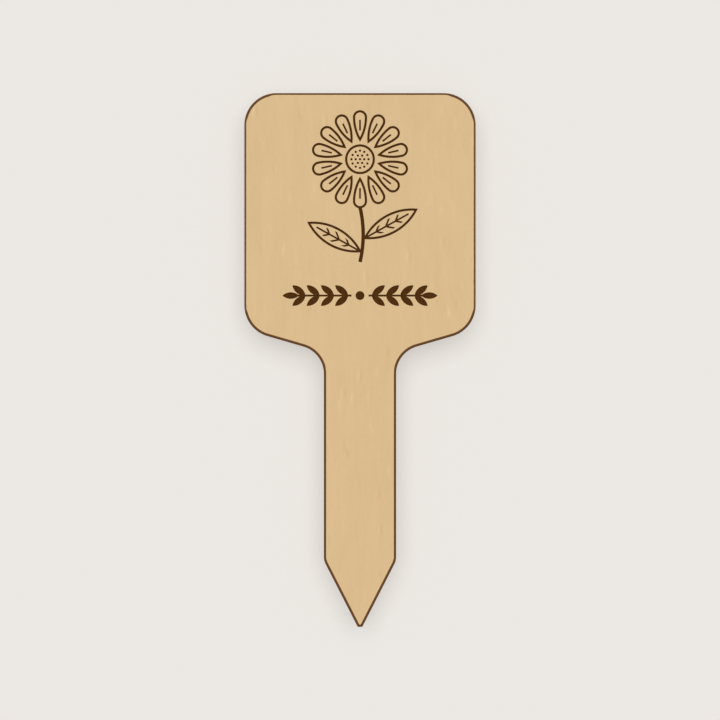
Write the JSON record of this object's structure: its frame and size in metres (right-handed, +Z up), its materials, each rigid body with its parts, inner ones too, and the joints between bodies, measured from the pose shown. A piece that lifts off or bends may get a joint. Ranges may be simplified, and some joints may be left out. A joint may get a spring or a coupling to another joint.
{
  "type": "plant label stake",
  "caption": "Flat plywood plant label with a rounded square head, a straight stem and a blunt point for pushing into soil, with an engraved flower over a leafy garland.",
  "frame": {"origin": "middle of the blunt tip, on the centre line and halfway through the board's thickness", "axes": "+Z up from the tip to the top edge of the head, +X across the head to the right as seen from the engraved front, +Y from the engraved front to the plain back"},
  "size_m": [0.065, 0.003, 0.15],
  "materials": {
    "front_veneer": "sanded bare face veneer with the grain along the stem, engraved and edged in dark brown char",
    "core_veneer": "cross-grain core veneer, laser-charred at the cut edge",
    "back_veneer": "sanded bare back veneer with the grain along the stem, charred at the cut edge",
    "glue_line": "thin cured resin film, charred dark at the cut edge"
  },
  "bodies": {
    "root": {"front_veneer": "front_veneer", "front_glue_line": "glue_line", "core_veneer": "core_veneer", "back_glue_line": "glue_line", "back_veneer": "back_veneer"}
  },
  "joints": []
}
